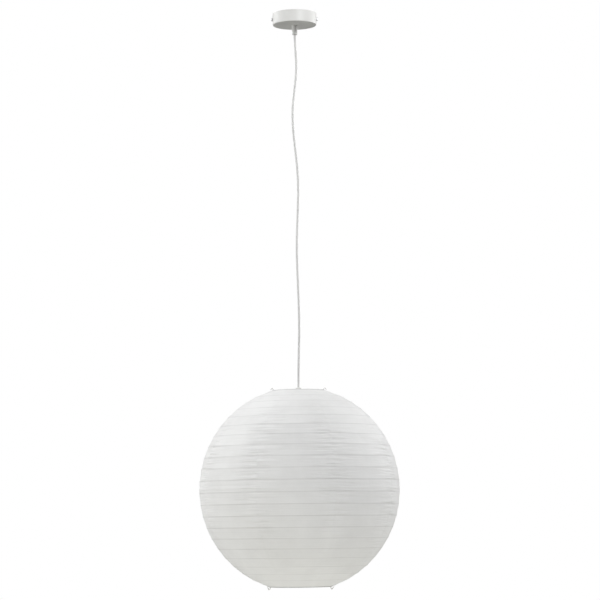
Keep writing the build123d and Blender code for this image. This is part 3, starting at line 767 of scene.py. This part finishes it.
def build_cord():
    """The free cord with its wavy set, cut half-way into an upper and a lower piece."""
    low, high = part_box("pendant_cord")
    inner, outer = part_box("cord_in_rose")
    wire = (outer.x - inner.x) / 2
    swing_z, tilt_z = high.z - wire, low.z + wire
    above, below = swing_z + wire + CORD_OVERLAP, tilt_z - wire - CORD_OVERLAP
    knots = np.array([w[0] for w in CORD_WAVES] + [(swing_z - tilt_z) / MM]) * MM
    sideways = np.array([w[1] for w in CORD_WAVES] + [0]) * MM
    deep = np.array([w[2] for w in CORD_WAVES] + [0]) * MM
    drops = np.linspace(swing_z - above, swing_z - below, CORD_POINTS)
    inside = np.clip(drops, 0, knots[-1])
    x, y = clamped_spline(knots, sideways, inside), clamped_spline(knots, deep, inside)
    path = np.stack([x, y, swing_z - drops], 1)
    half = len(path) // 2
    upper = tube("cord_upper", path[: half + 1], wire, CORD_SIDES, round_ends=False)
    lower = tube("cord_lower", path[half:], wire, CORD_SIDES, round_ends=False)
    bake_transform(upper)
    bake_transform(lower)
    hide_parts("pendant_cord")
    return [upper, lower]


CORDS = build_cord()

# ---------------------------------------------------------------- lamp socket
THREAD_PITCH = 3.6 * MM
THREAD_DEPTH = 0.55 * MM
THREAD_FADE = 1.5 * MM  # over which the thread runs out at each end
SHELL_WALL = 0.35 * MM
SHELL_COLUMNS, SHELL_ROWS = 72, 64


def build_socket_thread():
    """The holder's screw shell as it is pressed from sheet: one rolled thread, open at both ends."""
    low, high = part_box("lamp_screw_shell")
    root = (high.x - low.x) / 2 - SHELL_WALL - THREAD_DEPTH
    angles = np.arange(SHELL_COLUMNS) * FULL_TURN / SHELL_COLUMNS
    heights = np.linspace(low.z, high.z, SHELL_ROWS + 1)
    rows = []
    for wall, climb in ((SHELL_WALL, heights), (0.0, heights[::-1])):
        for z in climb:
            turn = (z - low.z) / THREAD_PITCH * FULL_TURN - angles
            fade = smooth(min(z - low.z, high.z - z) / THREAD_FADE)
            radius = root + wall + THREAD_DEPTH * (0.5 + 0.5 * np.cos(turn) * fade)
            rows.append(np.stack([radius * np.cos(angles), radius * np.sin(angles), z + 0 * angles], 1))
    faces = grid_faces(len(rows) + 1, SHELL_COLUMNS) % (len(rows) * SHELL_COLUMNS)
    shell = mesh_object("socket_thread", np.concatenate(rows), faces)
    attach(shell, "lampholder")
    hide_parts("lamp_screw_shell")
    return shell


SOCKET_THREAD = build_socket_thread()

# ---------------------------------------------------------------- finishes
ALONG_WIRE = (1, 1, 0.2)
ALONG_CORD = (1, 1, 0.12)
SLEEVE = dict(roughness=0.45, grain=900, mottle=0.08, stretch=ALONG_WIRE)
FINISHES = {
    "white_enamel": dict(
        colour=(0.72, 0.72, 0.70), roughness=0.42, grain=1400, depth=0.00003, mottle=0.015, coat=0.1
    ),
    "zinc_steel": dict(colour=(0.66, 0.67, 0.68), roughness=0.34, metallic=1.0, grain=1600, mottle=0.08),
    "brass": dict(colour=(0.76, 0.58, 0.28), roughness=0.30, metallic=1.0, grain=1800, mottle=0.09),
    "white_plastic": dict(
        colour=(0.70, 0.70, 0.68), roughness=0.36, grain=1200, depth=0.00002, mottle=0.02, soft=0.1
    ),
    "clear_plastic": dict(colour=(0.66, 0.68, 0.65), roughness=0.45, grain=900, mottle=0.05, soft=0.4),
    "cord_sheath": dict(
        colour=(0.62, 0.62, 0.61), roughness=0.48, grain=700, mottle=0.03, stretch=ALONG_CORD, soft=0.1
    ),
    "live_sleeve": dict(colour=(0.24, 0.10, 0.05), **SLEEVE),
    "neutral_sleeve": dict(colour=(0.05, 0.14, 0.45), **SLEEVE),
    "glazed_insert": dict(
        colour=(0.76, 0.74, 0.67), roughness=0.22, grain=500, depth=0.00003, mottle=0.05, coat=0.5
    ),
    "wire_white": dict(
        colour=(0.80, 0.80, 0.78), roughness=0.38, grain=1500, depth=0.00003, mottle=0.05, coat=0.2
    ),
    "hoop_wire": dict(colour=(0.62, 0.62, 0.60), roughness=0.45, grain=1500, depth=0.00003, mottle=0.06),
}
MADE = {name: solid_finish(name, **settings) for name, settings in FINISHES.items()}

EARTH_GREEN = (0.10, 0.34, 0.06, 1)
EARTH_YELLOW = (0.80, 0.68, 0.06, 1)
STRIPES = dict(Scale=160.0, Distortion=0.6)
STRIPE_EDGE = (0.62, 0.68)


def earth_finish():
    """Green insulation with yellow stripes."""
    s = Shader("earth_sleeve")
    place = s.place()
    wave = s.node("ShaderNodeTexWave", Vector=place, **STRIPES).outputs["Fac"]
    tone = s.mix(s.ramp(wave, *STRIPE_EDGE), EARTH_GREEN, EARTH_YELLOW)
    surface = s.node("ShaderNodeBsdfPrincipled", Roughness=SLEEVE["roughness"])
    s.feed(surface.inputs["Base Color"], tone)
    s.feed(surface.inputs["Normal"], s.bump(s.noise(place, SLEEVE["grain"]), GRAIN_DEPTH))
    return s.finish(surface.outputs[0])


MADE["earth_sleeve"] = earth_finish()
for part in frame["record"]["subparts"]:
    node, slot = part["node"], part["material_slot"]
    if slot in MADE:
        dress(frame["nodes"][node], MADE[slot])
for piece in LEGS:
    dress(piece, MADE["wire_white"])
for piece in CORDS:
    dress(piece, MADE["cord_sheath"])
dress(SOCKET_THREAD, MADE["brass"])

# ---------------------------------------------------------------- studio
WORLD_LIGHT = 0.525
FLOOR_Z = -2.45
FLOOR_HALF = 9
FLOOR_NEAR, FLOOR_FAR = 0.5, 7.5  # distances from the lamp between which the painted shade on the floor fades
# glow of the floor in its painted shade under the lamp, and far off
FLOOR_SHADE_TONE, STUDIO_WHITE = 0.90, 1.0
WARM = (1.0, 0.995, 0.94)
COOL = (0.985, 0.99, 1.0)
WARM_BELOW = -30  # elevation under which a softbox is warm
# azimuth and elevation seen from the middle of the shade, distance, side in metres, power in watts
SOFTBOXES = {
    "key": (30, 40, 3.6, 1.2, 68),
    "left": (-90, 15, 3.6, 1.2, 51),
    "right": (120, 15, 3.6, 1.2, 55),
    "back_left": (-120, 40, 3.6, 1.2, 42),
    "front_low": (0, -60, 1.35, 0.9, 8.2),
    "left_low": (-60, -35, 1.9, 0.9, 11),
    "right_low": (120, -60, 1.35, 0.9, 8),
}


def floor_finish():
    """A pale floor that only the camera sees, from above: soft grey painted shade under the lamp, fading to white.
    """
    s = Shader("studio_floor")
    path = s.node("ShaderNodeLightPath")
    apart = s.node("ShaderNodeVectorMath", operation="LENGTH")
    s.feed(apart.inputs[0], s.place((1, 1, 0)))
    tone = s.ramp(apart.outputs["Value"], FLOOR_NEAR, FLOOR_FAR, FLOOR_SHADE_TONE, STUDIO_WHITE)
    glow = s.node("ShaderNodeEmission", Color=(1, 1, 1, 1))
    s.feed(glow.inputs["Strength"], s.math("MULTIPLY", tone, path.outputs["Is Camera Ray"]))
    clear = s.node("ShaderNodeBsdfTransparent").outputs[0]
    below = s.node("ShaderNodeNewGeometry").outputs["Backfacing"]
    return s.finish(s.blend(below, glow.outputs[0], clear))


def build_studio():
    """The floor, the even light all round and the softboxes, which the camera doesn't see."""
    scene = bpy.context.scene
    scene.view_settings.view_transform = "Standard"
    scene.view_settings.look = "None"
    square_corners = ((-1, -1), (1, -1), (1, 1), (-1, 1))
    corners = [(x * FLOOR_HALF, y * FLOOR_HALF, FLOOR_Z) for x, y in square_corners]
    floor = mesh_object("floor", corners, [(0, 1, 2, 3)])
    dress(floor, floor_finish())
    world = bpy.data.worlds.new("studio")
    scene.world = world
    world.use_nodes = True
    tree = world.node_tree
    background = tree.nodes["Background"]
    path = tree.nodes.new("ShaderNodeLightPath")
    seen = tree.nodes.new("ShaderNodeMapRange")
    seen.inputs["To Min"].default_value = WORLD_LIGHT
    seen.inputs["To Max"].default_value = STUDIO_WHITE
    tree.links.new(path.outputs["Is Camera Ray"], seen.inputs["Value"])
    tree.links.new(seen.outputs[0], background.inputs["Strength"])
    background.inputs["Color"].default_value = (1, 1, 1, 1)
    middle = Vector((0, 0, (TOP_Z + BOTTOM_Z) / 2))
    for name, (azimuth, elevation, away, size, power) in SOFTBOXES.items():
        light = bpy.data.lights.new(name, "AREA")
        light.shape = "SQUARE"
        light.size = size
        light.energy = power
        light.color = WARM if elevation < WARM_BELOW else COOL
        turn = Euler((math.radians(-elevation), 0, math.radians(azimuth))).to_matrix()
        towards = turn @ Vector((0, -1, 0))
        holder = bpy.data.objects.new(name, light)
        holder.location = middle + towards * away
        holder.rotation_euler = (-towards).to_track_quat("-Z", "Y").to_euler()
        holder.visible_camera = False
        scene.collection.objects.link(holder)


build_studio()

CAMERA_PLACE = (5.6 * MM, -5.4, -1.175)
SENSOR = 36.0  # mm
PICTURE_PIXELS = 600
FOCAL_PIXELS = 2400.0  # focal length over the width of one picture element
HORIZON_PIXELS = 230  # from the middle of the picture down to the camera's own height
CAMERA_PITCH = math.atan(HORIZON_PIXELS / FOCAL_PIXELS)
CAMERA_ROLL = math.radians(0.62)
camera_data = bpy.data.cameras.new("camera")
camera_data.sensor_width = SENSOR
camera_data.lens = SENSOR * FOCAL_PIXELS / PICTURE_PIXELS
camera_data.clip_end = 100
camera = bpy.data.objects.new("camera", camera_data)
bpy.context.scene.collection.objects.link(camera)
camera.location = CAMERA_PLACE
turn = Euler((math.pi / 2 + CAMERA_PITCH, 0, 0)).to_matrix() @ Matrix.Rotation(-CAMERA_ROLL, 3, "Z")
camera.rotation_euler = turn.to_euler()
bpy.context.scene.camera = camera
